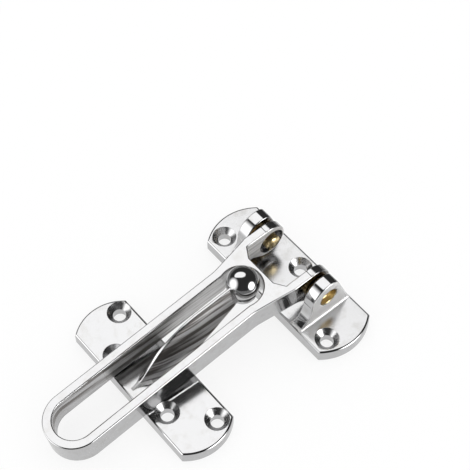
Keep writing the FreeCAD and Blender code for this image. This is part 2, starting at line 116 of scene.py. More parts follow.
def moved_in(points: Sequence[Point], distance: float) -> list[Point]:
    """An anticlockwise outline moved inwards, with mitred corners.

    Args:
        points: The outline.
        distance: How far each side moves towards the inside.

    Returns:
        As many points as before.
    """
    result = []
    count = len(points)
    for index in range(count):
        before = Vector(points[index - 1])
        here = Vector(points[index])
        after = Vector(points[(index + 1) % count])
        first = (here - before).normalized()
        second = (after - here).normalized()
        normal = Vector((-first.y, first.x)) + Vector((-second.y, second.x))
        normal.normalize()
        cosine = max(LEAST_COSINE, normal.dot(Vector((-first.y, first.x))))
        shifted = here + normal * (distance / cosine)
        result.append((shifted.x, shifted.y))
    return result


def at_height(plan: Iterable[Point], height: float) -> list[Vector]:
    """The points of a plan, in space."""
    return [Vector((x, y, height)) for x, y in plan]


# Mesh making


@dataclass
class Workpiece:
    """A bmesh in millimetres that grows ring by ring.

    Attributes:
        bm: The mesh under the tools.
    """

    bm: bmesh.types.BMesh = field(default_factory=bmesh.new)

    def ring(self, places: Iterable[Vector]) -> Ring:
        """Makes a closed loop of edges.

        Args:
            places: Where its vertices go, in order.

        Returns:
            The vertices.
        """
        verts = [self.bm.verts.new(place) for place in places]
        for index, vert in enumerate(verts):
            self.bm.edges.new((vert, verts[(index + 1) % len(verts)]))
        return verts

    @staticmethod
    def edges_of(ring: Ring) -> list[bmesh.types.BMEdge]:
        """The edges between a loop's vertices.

        Args:
            ring: The loop.

        Returns:
            As many edges, in order.
        """
        chosen = []
        for index, vert in enumerate(ring):
            other = ring[(index + 1) % len(ring)]
            chosen.append(next(e for e in vert.link_edges if e.other_vert(vert) is other))
        return chosen

    def drawn_to(self, ring: Ring, places: Sequence[Vector]) -> Ring:
        """Extrudes a loop and puts its copy at new places.

        Args:
            ring: The loop to extrude.
            places: One place for each of its vertices.

        Returns:
            The new loop, in the same order.
        """
        made = bmesh.ops.extrude_edge_only(self.bm, edges=self.edges_of(ring))
        fresh = {v for v in made["geom"] if isinstance(v, bmesh.types.BMVert)}
        copies = [next(e.other_vert(vert) for e in vert.link_edges if e.other_vert(vert) in fresh)
                  for vert in ring]
        for vert, place in zip(copies, places):
            vert.co = place
        return copies

    def raised(self, rows: Iterable[Sequence[Vector]]) -> tuple[Ring, Ring]:
        """Draws a wall through several loops.

        Args:
            rows: The places of each loop's vertices, from the first loop to the last.

        Returns:
            The first and the last loop.
        """
        rows = iter(rows)
        first = ring = self.ring(next(rows))
        for places in rows:
            ring = self.drawn_to(ring, places)
        return first, ring

    def cap(self, *rings: Ring) -> None:
        """Fills the flat area between an outer loop and the loops inside it."""
        edges = [edge for ring in rings for edge in self.edges_of(ring)]
        bmesh.ops.triangle_fill(self.bm, edges=edges, use_beauty=True, use_dissolve=False)

    def place(self, matrix: Matrix) -> None:
        """Moves the whole mesh."""
        bmesh.ops.transform(self.bm, matrix=matrix, verts=list(self.bm.verts))

    def join(self, other: "Workpiece") -> None:
        """Takes over another workpiece's mesh.

        Args:
            other: The workpiece that is used up.
        """
        mesh = bpy.data.meshes.new("joined")
        other.bm.to_mesh(mesh)
        self.bm.from_mesh(mesh)
        bpy.data.meshes.remove(mesh)
        other.bm.free()

    def mirrored(self) -> "Workpiece":
        """Makes a copy on the other side of the plane Y = 0.

        Returns:
            The copy, facing outwards as this one does.
        """
        copy = Workpiece(self.bm.copy())
        copy.place(Matrix.Diagonal((1.0, -1.0, 1.0, 1.0)))
        bmesh.ops.reverse_faces(copy.bm, faces=copy.bm.faces)
        return copy

    def close(self) -> None:
        """Merges doubles and turns every face outwards."""
        bmesh.ops.remove_doubles(self.bm, verts=self.bm.verts, dist=DOUBLES)
        bmesh.ops.recalc_face_normals(self.bm, faces=self.bm.faces)

    def finished(self, name: str, grade: Grader, sharp: float = 34.0) -> bpy.types.Object:
        """Turns the workpiece into an object in metres.

        Args:
            name: The piece's name.
            grade: Tells how satin a spot is and how much dark streaking and painted shade it gets,
                by its place and its normal.
            sharp: Edges steeper than this many degrees stay crisp.

        Returns:
            The object, at the origin, with even shading on its flats.
        """
        self.bm.normal_update()
        grades = [grade(face.calc_center_median(), face.normal) for face in self.bm.faces]
        self.place(Matrix.Scale(MM, 4))
        mesh = bpy.data.meshes.new(name)
        self.bm.to_mesh(mesh)
        self.bm.free()
        for polygon in mesh.polygons:
            polygon.use_smooth = True
        mesh.set_sharp_from_angle(angle=math.radians(sharp))
        for label, values in zip(Grade._fields, zip(*grades)):
            layer = mesh.attributes.new(label, "FLOAT", "FACE")
            layer.data.foreach_set("value", values)
        piece = bpy.data.objects.new(name, mesh)
        bpy.context.scene.collection.objects.link(piece)
        weighted = piece.modifiers.new("Even flats", "WEIGHTED_NORMAL")
        weighted.keep_sharp = True
        weighted.weight = 60
        return piece


@dataclass(frozen=True)
class Hole:
    """A round hole through a slab.

    Attributes:
        centre: Its middle, in the slab's plane.
        steps: Radius and height of each ring of its wall, from the slab's bottom to its top.
    """

    centre: Point
    steps: tuple[Point, ...]


@dataclass(frozen=True)
class Slab:
    """A flat plate of any outline with rounded rims and holes.

    Attributes:
        outline: Anticlockwise points.
        bottom: Height of the lower face.
        top: Height of the upper face.
        low_round: Rounding of the lower rim.
        high_round: Rounding of the upper rim.
        holes: Round holes.
        windows: Other openings, as anticlockwise outlines, rounded as the outside is.
        waist: Height of an extra loop on every wall.
        round_steps: Loops on a rounding.
    """

    outline: tuple[Point, ...]
    bottom: float
    top: float
    low_round: float = 0.0
    high_round: float = 0.0
    holes: tuple[Hole, ...] = ()
    windows: tuple[tuple[Point, ...], ...] = ()
    waist: float | None = None
    round_steps: int = 4

    def levels(self) -> list[Point]:
        """Works out the wall's loops.

        Returns:
            Inset and height of each loop, from bottom to top.
        """
        rows = []
        if self.low_round:
            for index in range(self.round_steps):
                angle = math.pi / 2 * index / self.round_steps
                inset = self.low_round * (1 - math.sin(angle))
                rows.append((inset, self.bottom + self.low_round * (1 - math.cos(angle))))
        rows.append((0.0, self.bottom + self.low_round))
        if self.waist is not None:
            rows.append((0.0, self.waist))
        rows.append((0.0, self.top - self.high_round))
        if self.high_round:
            for index in range(1, self.round_steps + 1):
                angle = math.pi / 2 * index / self.round_steps
                inset = self.high_round * (1 - math.cos(angle))
                rows.append((inset, self.top - self.high_round * (1 - math.sin(angle))))
        return rows

    def wall(self, work: Workpiece, outline: Sequence[Point], sense: float) -> tuple[Ring, Ring]:
        """Raises one wall from the bottom rim to the top rim.

        Args:
            work: The mesh to add to.
            outline: The wall's plan.
            sense: +1 for the outside, -1 for a window.

        Returns:
            Its lowest and its highest loop.
        """
        return work.raised(at_height(moved_in(outline, sense * inset), height)
                           for inset, height in self.levels())

    def made(self) -> Workpiece:
        """Builds the slab.

        Returns:
            The slab with its plane in XY.
        """
        work = Workpiece()
        rims = [self.wall(work, self.outline, 1.0)]
        rims += [self.wall(work, window, -1.0) for window in self.windows]
        for hole in self.holes:
            rims.append(work.raised(at_height(circle(hole.centre, radius), height)
                                    for radius, height in hole.steps))
        work.cap(*[low for low, _ in rims])
        work.cap(*[high for _, high in rims])
        work.close()
        return work


def turned(profile: Sequence[Point]) -> Workpiece:
    """A body of revolution about Z.

    Args:
        profile: Radius and height of each point, from one end of the axis to the other.

    Returns:
        The workpiece, closed and facing outwards.
    """
    work = Workpiece()
    verts = [work.bm.verts.new((radius, 0.0, height)) for radius, height in profile]
    edges = [work.bm.edges.new(pair) for pair in zip(verts, verts[1:])]
    bmesh.ops.spin(
        work.bm, geom=verts + edges, cent=(0, 0, 0), axis=(0, 0, 1),
        angle=2 * math.pi, steps=SPIN_STEPS, use_merge=True)
    work.close()
    return work


def lofted(rows: Iterable[Sequence[Vector]]) -> Workpiece:
    """A body drawn through several loops.

    Args:
        rows: The places of each loop's vertices, from one end to the other.

    Returns:
        The workpiece, closed and facing outwards.
    """
    work = Workpiece()
    for rim in work.raised(rows):
        work.cap(rim)
    work.close()
    return work


@dataclass(frozen=True)
class Countersink:
    """A screw hole with a conical seat.

    Attributes:
        bore: Radius of the way through.
        depth: Depth of the seat.
        mouth: Radius and depth of the seat's last loops.
        reach: Radius inside which a face can belong to the seat.
        skin: Depth under which it does.
    """

    bore: float = 2.4
    depth: float = 1.95
    mouth: tuple[Point, ...] = ((4.28, 0.07), (4.36, 0.02), (4.42, 0.0))
    reach: float = 4.4
    skin: float = 0.01

    def hole(self, centre: Point, top: float) -> Hole:
        """The hole through a plate with this upper face."""
        seat = tuple((radius, top - depth) for radius, depth in self.mouth)
        return Hole(centre, ((self.bore, 0.0), (self.bore, top - self.depth)) + seat)

    def holds(self, spot: Vector, screws: Iterable[Point], top: float) -> bool:
        """Whether a spot is on the conical seat of one of the screws."""
        sunk = top - self.depth < spot.z < top - self.skin
        return sunk and any(math.hypot(spot.x - x, spot.y - y) < self.reach for x, y in screws)


UPRIGHT = Matrix(((1, 0, 0, 0), (0, 0, -1, 0), (0, 1, 0, 0), (0, 0, 0, 1)))
SCREW = Countersink()


def arched(half_width: float, half_length: float, radius: float) -> tuple[Point, ...]:
    """Draws a plate with straight long sides and arched ends.

    Args:
        half_width: Half its size along X.
        half_length: Half its size along Y, over the arches.
        radius: Radius of the arches.

    Returns:
        Its plan, anticlockwise.
    """
    middle = half_length - radius
    span = math.degrees(math.asin(half_width / radius))
    upper = arc((0.0, middle), radius, 90 - span, 90 + span)
    lower = arc((0.0, -middle), radius, 270 - span, 270 + span)
    return tuple(upper + lower)


# Shader writing


class Wire:
    """A shader socket that takes part in arithmetic."""

    def __init__(self, shop: "PaintShop", socket: bpy.types.NodeSocket) -> None:
        """Keeps the socket and the shop that adds nodes."""
        self.shop = shop
        self.socket = socket

    def _math(self, operation: str, *values: "Wire | float") -> "Wire":
        """Adds a Math node for these values."""
        inputs = dict(enumerate(values))
        return self.shop.node("ShaderNodeMath", {"operation": operation}, inputs)["Value"]

    def __add__(self, other: "Wire | float") -> "Wire":
        """Sum."""
        return self._math("ADD", self, other)

    def __radd__(self, other: float) -> "Wire":
        """Sum with the value on the left."""
        return self._math("ADD", other, self)

    def __sub__(self, other: "Wire | float") -> "Wire":
        """Difference."""
        return self._math("SUBTRACT", self, other)

    def __rsub__(self, other: float) -> "Wire":
        """Difference with the value on the left."""
        return self._math("SUBTRACT", other, self)

    def __mul__(self, other: "Wire | float") -> "Wire":
        """Product."""
        return self._math("MULTIPLY", self, other)

    def __rmul__(self, other: float) -> "Wire":
        """Product with the value on the left."""
        return self._math("MULTIPLY", other, self)

    def __truediv__(self, other: "Wire | float") -> "Wire":
        """Quotient."""
        return self._math("DIVIDE", self, other)

    def __pow__(self, power: float) -> "Wire":
        """Power."""
        return self._math("POWER", self, power)

    def size(self) -> "Wire":
        """The value without its sign."""
        return self._math("ABSOLUTE", self)

    def at_least(self, floor: float) -> "Wire":
        """The value, but never under the floor."""
        return self._math("MAXIMUM", self, floor)

    def above(self, level: float) -> "Wire":
        """1 where the value is over the level."""
        return self._math("GREATER_THAN", self, level)

    def step(self, low: float, high: float) -> "Wire":
        """A soft step from 0 to 1.

        Args:
            low: Value up to which it is 0.
            high: Value from which it is 1.

        Returns:
            The stepped value.
        """
        settings = {"interpolation_type": "SMOOTHSTEP"}
        inputs = {"Value": self, "From Min": low, "From Max": high}
        return self.shop.node("ShaderNodeMapRange", settings, inputs)["Result"]


class PaintShop:
    """Writes the nodes of one material or of the world."""

    def __init__(self, owner: bpy.types.Material | bpy.types.World) -> None:
        """Empties the owner's node tree.

        Args:
            owner: What the nodes belong to.
        """
        owner.use_nodes = True
        self.tree = owner.node_tree
        self.tree.nodes.clear()

    def node(self, kind: str, settings: dict | None = None,
             inputs: dict | None = None) -> dict[str, Wire]:
        """Adds a node.

        Args:
            kind: The node's type.
            settings: Its own properties, set first.
            inputs: Values or wires by socket name or number.

        Returns:
            Its outputs by name.
        """
        made = self.tree.nodes.new(kind)
        for name, value in (settings or {}).items():
            setattr(made, name, value)
        for name, value in (inputs or {}).items():
            socket = made.inputs[name]
            if isinstance(value, Wire):
                self.tree.links.new(value.socket, socket)
            else:
                socket.default_value = value
        return {s.name: Wire(self, s) for s in made.outputs if s.enabled}

    def mix(self, factor: Wire, first: Wire | Colour, second: Colour) -> Wire:
        """Mixes two colours.

        Args:
            factor: Share of the second colour.
            first: Colour where the factor is 0.
            second: Colour where the factor is 1.

        Returns:
            The mixed colour.
        """
        start = first if isinstance(first, Wire) else (*first, 1.0)
        # Several inputs of a Mix node share one name, so the colours go by number.
        inputs = {0: factor, 6: start, 7: (*second, 1.0)}
        return self.node("ShaderNodeMix", {"data_type": "RGBA"}, inputs)["Result"]

    def noise(self, vector: Wire, scale: float, detail: float, roughness: float) -> Wire:
        """Adds a noise texture.

        Args:
            vector: Where it is read.
            scale: Spots per unit of the vector.
            detail: Number of finer layers.
            roughness: Strength of those layers.

        Returns:
            The pattern, from 0 to 1.
        """
        inputs = {"Vector": vector, "Scale": scale, "Detail": detail, "Roughness": roughness}
        return self.node("ShaderNodeTexNoise", None, inputs)["Fac"]

    def stretched(self, vector: Wire, turn: Triple, scale: Triple) -> Wire:
        """A vector turned and then scaled along each axis."""
        inputs = {"Vector": vector, "Rotation": turn, "Scale": scale}
        return self.node("ShaderNodeMapping", None, inputs)["Vector"]

    def painted(self, name: str) -> Wire:
        """A value that the faces carry."""
        return self.node("ShaderNodeAttribute", {"attribute_name": name})["Fac"]


@dataclass(frozen=True)
class Finish:
    """A polished metal with fine wipe marks and the slight waves of a casting.

    Attributes:
        slot: The record's slot.
        colour: Reflection colour.
        shade: Colour where the surface is duller.
        pale: Paler colour of the brushed faces, a painted light.
        streak_and_shade_colour: Colour of the dark streaks, also painted as shade in recesses, gaps
            and the slot.
        gloss: Roughness of the polish.
        satin: Roughness of the faces that were only brushed.
        haze: How much the roughness grows in the dull spots.
        wave: Height of the casting's waves, in metres.
        wave_scale: Waves per metre.
        scratch: Height of the wipe marks, in metres.
        furrow: Depth of the streaks, in metres.
        smear_scale: Dull spots per metre.
        dull_from, dull_to: Where in the smears' pattern the dull spots start and are full.
        wipe_turn, wipe_scale: Direction of the wipe marks, and how many there are per metre.
        strand_turn, strand_scale: The same for the streaks.
        dark_from, dark_to: Where in the streaks' pattern they start and are full.
        painted_light_from: Grade of satin from which a face is painted paler.
        matt_from: Grade of satin from which the plating's haze scatters light.
        matt: How much of the light it scatters at most.
    """

    slot: Metal
    colour: Colour
    shade: Colour
    pale: Colour
    streak_and_shade_colour: Colour
    gloss: float
    satin: float
    haze: float
    wave: float
    wave_scale: float
    scratch: float
    furrow: float
    smear_scale: float = 260.0
    dull_from: float = 0.45
    dull_to: float = 0.75
    wipe_turn: Triple = (0.0, 0.0, 0.25)
    wipe_scale: Triple = (260.0, 2600.0, 900.0)
    strand_turn: Triple = (0.0, -0.108, 0.0)
    strand_scale: Triple = (22.0, 60.0, 620.0)
    dark_from: float = 0.41
    dark_to: float = 0.56
    painted_light_from: float = 0.6
    matt_from: float = 0.7
    matt: float = 0.35

    def material(self) -> bpy.types.Material:
        """Writes the finish as a shader.

        Returns:
            The material.
        """
        made = bpy.data.materials.new(self.slot.value + " polish")
        shop = PaintShop(made)
        place = shop.node("ShaderNodeTexCoord")["Object"]
        cloud = shop.noise(place, self.wave_scale, detail=2.0, roughness=0.45)
        smear = shop.noise(place, self.smear_scale, detail=4.0, roughness=0.6)
        across = shop.stretched(place, self.wipe_turn, self.wipe_scale)
        wipe = shop.noise(across, 1.0, detail=3.0, roughness=0.55)
        lengthwise = shop.stretched(place, self.strand_turn, self.strand_scale)
        strand = shop.noise(lengthwise, 1.0, detail=4.0, roughness=0.6)
        dull = smear.step(self.dull_from, self.dull_to)
        brushed, streaks_and_shade = (shop.painted(label) for label in Grade._fields)
        # Dark streaks from the strand pattern; where faces are graded high they are painted shade.
        dark = strand.step(self.dark_from, self.dark_to) * streaks_and_shade
        plain = shop.mix(dull, self.colour, self.shade)
        # Faces graded satin from painted_light_from up are painted paler: painted light.
        with_painted_light = shop.mix(brushed.step(self.painted_light_from, 1.0), plain, self.pale)
        colour = shop.mix(dark, with_painted_light, self.streak_and_shade_colour)
        rough = dull * self.haze + brushed * (self.satin - self.gloss) + self.gloss
        height = cloud * self.wave + wipe * self.scratch + strand * streaks_and_shade * self.furrow
        bump = shop.node("ShaderNodeBump", None, {
            "Strength": 1.0, "Distance": 1.0, "Height": height})["Normal"]
        metal = 1.0 - brushed.step(self.matt_from, 1.0) * self.matt
        surface = shop.node("ShaderNodeBsdfPrincipled", None, {
            "Base Color": colour, "Roughness": rough, "Metallic": metal, "Normal": bump})["BSDF"]
        shop.node("ShaderNodeOutputMaterial", None, {"Surface": surface})
        return made


# The door guard


@dataclass(frozen=True)
class ScrewPlate:
    """Arched mounting plate with countersunk screw holes.

    Attributes:
        half_width, half_length, arch: Its plan.
        screws: Middles of the screw holes.
        thickness: Its height.
        low_edge, high_edge: Rounding of its lower and upper edges.
    """

    half_width: float
    half_length: float
    arch: float
    screws: tuple[Point, ...]
    thickness: float = 5.0
    low_edge: float = 0.15
    high_edge: float = 0.85

    def plate(self) -> Workpiece:
        """Makes the plate alone.

        Returns:
            The plate about its middle, with its back at height 0.
        """
        plan = arched(self.half_width, self.half_length, self.arch)
        holes = tuple(SCREW.hole(spot, self.thickness) for spot in self.screws)
        return Slab(plan, 0.0, self.thickness, self.low_edge, self.high_edge, holes).made()


@dataclass(frozen=True)
class HingePlate(ScrewPlate):
    """Arched plate with two upright ears.

    Attributes:
        pin: Place of the pin axis in X and Z.
        ear_inner, ear_outer: Faces of an ear along Y.
        ear_radius: Round top of an ear.
        ear_edge: Rounding of an ear's edges.
        foot, foot_corner: Half the length of an ear's foot, and its corners' rounding.
        shoulder, shoulder_round: Angle at which the round top ends, and the corner there.
        bore: Radius of the pin's bore.
        bore_edge: Extra radius and depth of the loops at the bore's mouth.
        root, batter: Fillet at an ear's foot, and how much it narrows with height.
    """

    half_width: float = 12.1
    half_length: float = 35.0
    arch: float = 18.5
    screws: tuple[Point, ...] = ((6.0, 28.0), (6.0, -28.0), (-6.5, 0.0))
    pin: Point = (-1.35, 14.9)
    ear_inner: float = 15.5
    ear_outer: float = 20.1
    ear_radius: float = 7.8
    ear_edge: float = 0.45
    foot: float = 11.5
    foot_corner: float = 0.45
    shoulder: float = 118.0
    shoulder_round: float = 3.0
    bore: float = 3.8
    bore_edge: tuple[Point, ...] = ((0.25, 0.0), (0.08, 0.08), (0.0, 0.25))
    root: float = 0.7
    batter: float = 0.36

    def ear_plan(self) -> tuple[Point, ...]:
        """Draws an ear from the side.

        Returns:
            Its outline in X and Z, anticlockwise.
        """
        px, pz = self.pin
        front = px + self.ear_radius
        run, rise = self.foot - front, pz - self.thickness
        sweep = (run ** 2 + rise ** 2) / (2 * run)
        fall = math.degrees(math.asin(rise / sweep))
        concave = arc((front + sweep, pz), sweep, 180 + fall, 180.0, steps=14)
        angle = math.radians(self.shoulder)
        peak = Vector((px + self.ear_radius * math.cos(angle),
                       pz + self.ear_radius * math.sin(angle)))
        heel = Vector((-self.foot, self.thickness))
        along = (peak - heel).normalized()
        inwards = Vector((along.y, -along.x))
        start = heel + inwards * self.shoulder_round - Vector(self.pin)
        reach = self.ear_radius - self.shoulder_round
        half = start.dot(along)
        travel = -half + math.sqrt(half ** 2 - start.length_squared + reach ** 2)
        middle = Vector(self.pin) + start + along * travel
        touch = middle - inwards * self.shoulder_round
        out = middle - Vector(self.pin)
        turn = math.degrees(math.atan2(out.y, out.x))
        back = math.degrees(math.atan2(touch.y - middle.y, touch.x - middle.x))
        crown = arc(self.pin, self.ear_radius, 0.0, turn, steps=34)
        rounding = arc((middle.x, middle.y), self.shoulder_round, turn, back, steps=10)
        low = self.thickness * 0.5
        points = [(self.foot, low)] + concave + crown[1:] + rounding[1:]
        points += [(-self.foot, self.thickness), (-self.foot, low)]
        return tuple(points)

    def ear(self) -> Workpiece:
        """Makes the ear at positive Y.

        Returns:
            The ear, reaching down into the plate.
        """
        low, high, edge = -self.ear_outer, -self.ear_inner, self.ear_edge
        mouth = tuple((self.bore + wider, low + depth) for wider, depth in self.bore_edge)
        hole = Hole(self.pin, mouth + ((self.bore, high),))
        work = Slab(self.ear_plan(), low, high, edge, edge, (hole,)).made()
        work.place(UPRIGHT)
        return work

    def foot_plan(self) -> list[Point]:
        """Draws an ear's foot from above, with small round corners.

        Returns:
            Its plan, anticlockwise.
        """
        corner = self.foot_corner
        plan: list[Point] = []
        for sense, y, start in ((1, self.ear_inner + corner, 270), (1, self.ear_outer - corner, 0),
                                (-1, self.ear_outer - corner, 90),
                                (-1, self.ear_inner + corner, 180)):
            plan += arc((sense * (self.foot - corner), y), corner, start, start + 90, steps=5)
        return plan

    def ear_root(self) -> Workpiece:
        """Makes the hollow fillet that runs round an ear's foot.

        Returns:
            The fillet, sunk a little into the plate and the ear.
        """
        steps, sunk, tucked = 8, 0.01, 0.03
        limit = self.half_width - self.ear_edge
        rows = []
        for index in range(steps + 1):
            angle = math.pi / 2 * index / steps
            spread = self.root * (1 - math.sin(angle)) - tucked
            height = self.thickness - sunk + self.root * (1 - math.cos(angle))
            shrink = (height - self.thickness) * self.batter
            places = []
            for x, y in moved_in(self.foot_plan(), -spread):
                x = math.copysign(min(abs(x), limit), x)
                places.append(Vector((x - math.copysign(min(shrink, abs(x)), x), y, height)))
            rows.append(places)
        return lofted(rows)

    def grade(self, centre: Vector, normal: Vector) -> Grade:
        """The ears' outer sides and the fillets at their feet are brushed and painted paler, a
        painted light; their inner sides are darkened with dark streaks; the plate's top is less
        than a mirror.

        Args:
            centre: Middle of a face.
            normal: Its direction.

        Returns:
            How the face is finished.
        """
        if centre.z > self.thickness:
            flat_side = abs(normal.y) > 0.9
            # The inner sides, across a narrow gap from the knuckles, are darkened with dark
            # streaks.
            if flat_side and abs(centre.y) < self.ear_inner + 0.1:
                return Grade(satin=0.3, streaks_and_shade=1.2)
            # Brushed faces are painted paler, a painted light.
            brushed = flat_side or centre.z < self.thickness + self.root
            return Grade(satin=1.0) if brushed else Grade()
        if SCREW.holds(centre, self.screws, self.thickness):
            return Grade(satin=0.45)
        return Grade(satin=0.32) if normal.z > 0.99 else Grade()

    def made(self) -> Workpiece:
        """Makes the whole casting.

        Returns:
            The plate with both ears.
        """
        work = self.plate()
        for part in (self.ear(), self.ear_root()):
            work.join(part.mirrored())
            work.join(part)
        return work


@dataclass(frozen=True)
class SwingBar:
    """Looped bar with spreading arms and knuckles, drawn about its pin axis.

    Attributes:
        length: Pin axis to the outside of the loop.
        top, base, rim: Upper and lower face about the pin axis, and the rounding there.
        slot, half: Half widths of the slot and of the bar.
        scoop_centre, scoop_radius: Round hinge end of the slot.
        web_back, web_corner, web_half: Web that closes the slot.
        arm_start: Where the arms take over from the knuckles.
        flare_start, flare_end, flare_half: Spread of the legs.
        ease: How far the two bends of that spread are softened.
        knuckle_inner, knuckle_outer, knuckle_radius: The barrels.
        knuckle_lead, knuckle_rise: A barrel's middle from the pin axis.
        knuckle_edge: Rounding of a knuckle's edges.
        crease: Run and depth of the groove between a barrel and its arm.
        bore, sink, sink_depth: Bore for the shank and the recess round its end.
        sink_edge: Extra radius and depth of the loops at the recess's mouth.
        tilt: How far the bar is laid down, in degrees.
        drawn_back: How much nearer that brings the loop, with the pin's own place.
        slot_shade_from, slot_shade_run: Start and length along X of the slot walls' dark streaks
            and painted shade.
    """

    length: float = 105.5
    top: float = 8.9
    base: float = -1.6
    rim: float = 0.5
    slot: float = 7.55
    half: float = 10.9
    scoop_centre: float = 22.371
    scoop_radius: float = 7.9
    web_back: float = 12.971
    web_corner: float = 10.588
    web_half: float = 6.5
    arm_start: float = 9.0
    flare_start: float = 19.471
    flare_end: float = 25.471
    flare_half: float = 11.9
    ease: float = 1.6
    knuckle_inner: float = 10.4
    knuckle_outer: float = 13.7
    knuckle_radius: float = 7.1
    knuckle_lead: float = 1.1
    knuckle_rise: float = 1.1
    knuckle_edge: float = 0.4
    crease: tuple[Point, ...] = ((1.35, 0.0), (1.1, 0.17), (0.95, 0.17), (0.7, 0.0))
    bore: float = 3.05
    sink: float = 5.2
    sink_depth: float = 1.2
    sink_edge: tuple[Point, ...] = ((0.0, 0.2), (0.06, 0.06), (0.2, 0.0))
    tilt: float = 6.1755
    drawn_back: float = 1.9
    slot_shade_from: float = 25.0
    slot_shade_run: float = 69.0

    @property
    def waist(self) -> float:
        """Height halfway between the lower and the upper face."""
        return (self.base + self.top) / 2

    @property
    def loop_centre(self) -> float:
        """X of the loop's middle."""
        return self.length - self.half

    def half_plan(self) -> list[Point]:
        """Draws the bar's outside at positive Y.

        Returns:
            Points from the loop's tip back to the web.
        """
        loop = arc((self.loop_centre, 0.0), self.half, 0.0, 90.0, steps=44)
        leg = (self.flare_end + 14.0, self.half)
        arm = (self.arm_start, self.knuckle_outer)
        wide, narrow = (self.flare_start, self.flare_half), (self.flare_end, self.half)
        bends = self.eased(leg, narrow, wide) + self.eased(narrow, wide, arm)
        web = [(self.arm_start, self.knuckle_inner), (self.web_corner, self.knuckle_inner),
               (self.web_back, self.web_half)]
        return loop + [leg] + bends + [arm] + web

    def eased(self, before: Point, corner: Point, after: Point) -> list[Point]:
        """Softens a shallow bend.

        Args:
            before: Point ahead of the corner.
            corner: The bend's own point.
            after: Point behind it.

        Returns:
            Points along a curve in the corner's place.
        """
        pieces = 6
        knee = Vector(corner)
        one = knee + (Vector(before) - knee).normalized() * self.ease
        two = knee + (Vector(after) - knee).normalized() * self.ease
        points = []
        for share in (index / pieces for index in range(pieces + 1)):
            spot = one * (1 - share) ** 2 + knee * 2 * share * (1 - share) + two * share ** 2
            points.append((spot.x, spot.y))
        return points

    def plan(self) -> tuple[Point, ...]:
        """Draws the bar's outside.

        Returns:
            Its outline, anticlockwise from the loop's tip.
        """
        upper = self.half_plan()
        lower = [(x, -y) for x, y in reversed(upper[1:])]
        return tuple(upper + lower)

    def window(self) -> tuple[Point, ...]:
        """Draws the slot: straight walls, a round loop end and a scooped hinge end.

        Returns:
            Its outline, anticlockwise.
        """
        middle, pieces = self.loop_centre, 12
        reach = math.degrees(math.asin(self.slot / self.scoop_radius))
        loop = arc((middle, 0.0), self.slot, -90.0, 90.0, steps=64)
        scoop = arc((self.scoop_centre, 0.0), self.scoop_radius, reach, 360 - reach, steps=64)
        start = scoop[0][0]
        upper = [(middle + (start - middle) * n / pieces, self.slot) for n in range(1, pieces)]
        lower = [(x, -y) for x, y in reversed(upper)]
        return tuple(loop + upper + scoop + lower)

    def knuckle_plan(self) -> tuple[Point, ...]:
        """Draws a knuckle from the side: a barrel that runs into the arm.

        Returns:
            Its outline in X and Z about the pin axis, anticlockwise.
        """
        overlap = 0.5
        angles = []
        for z, sense in ((self.top, 1.0), (self.base, -1.0)):
            run, rise = self.arm_start - self.knuckle_lead, z - self.knuckle_rise
            swing = math.degrees(math.acos(self.knuckle_radius / math.hypot(run, rise)))
            angles.append(math.degrees(math.atan2(rise, run)) + sense * swing)
        middle = (self.knuckle_lead, self.knuckle_rise)
        barrel = arc(middle, self.knuckle_radius, angles[0], 360 + angles[1], steps=60)
        x0, z0 = barrel[0]
        slope = (self.top - z0) / (self.arm_start - x0)
        crease = [(x0 + run, z0 + slope * run - depth) for run, depth in self.crease]
        low = [(self.arm_start, self.base), (self.arm_start + overlap, self.base)]
        high = [(self.arm_start + overlap, self.top), (self.arm_start, self.top)]
        return tuple(low + high + crease + barrel)

    def knuckle(self) -> Workpiece:
        """Makes the knuckle at positive Y.

        Returns:
            The knuckle, upright about the pin axis.
        """
        low, high, edge = -self.knuckle_outer, -(self.knuckle_inner + 0.005), self.knuckle_edge
        floor = high - self.sink_depth
        steps = ((self.bore, low), (self.bore, floor), (self.sink, floor))
        steps += tuple((self.sink + wider, high - depth) for wider, depth in self.sink_edge)
        hole = Hole((0.0, 0.0), steps)
        work = Slab(self.knuckle_plan(), low, high, edge, edge, (hole,)).made()
        work.place(UPRIGHT)
        return work

    def slot_grade(self, centre: Vector) -> Grade:
        """The slot's walls get dark streaks and painted shade, darkest above their waist near the
        loop.

        Args:
            centre: Middle of a face of the walls.

        Returns:
            How the face is finished.
        """
        share = min(max((centre.x - self.slot_shade_from) / self.slot_shade_run, 0.0), 1.0)
        lean = math.radians(self.tilt)
        out, up = centre.x - HingePlate.pin[0], centre.z - HingePlate.pin[1]
        upper = up * math.cos(lean) + out * math.sin(lean) > self.waist
        # Painted shade: darkest on the upper half of the walls towards the loop, less lower down.
        dark = 1.6 * share if upper else 0.6 * (1.0 - abs(2.0 * share - 1.0))
        # Satin 0.85 also paints the walls nearer the hinge paler: painted light.
        return Grade(satin=0.85 if share < 0.75 else 0.4, streaks_and_shade=0.4 + dark)

    def grade(self, centre: Vector, normal: Vector) -> Grade:
        """The knuckles' flat sides are brushed and streaky, their inner sides painted paler as a
        painted light; the slot's walls, its rim and the pin recesses are darkened as painted shade.

        Args:
            centre: Middle of a face.
            normal: Its direction.

        Returns:
            How the face is finished.
        """
        beyond = max(centre.x - self.length + self.half + self.drawn_back, 0.0)
        near_slot = math.hypot(beyond, centre.y) < self.scoop_radius + 0.6
        in_slot = near_slot and centre.x > self.web_back
        upright = abs(normal.z) < 0.3
        if in_slot and upright:
            return self.slot_grade(centre)
        # The slot's rounded rim is painted dark, a painted shade in place of a highlight.
        if in_slot and abs(normal.z) < 0.98:
            return Grade(satin=0.6, streaks_and_shade=1.2)
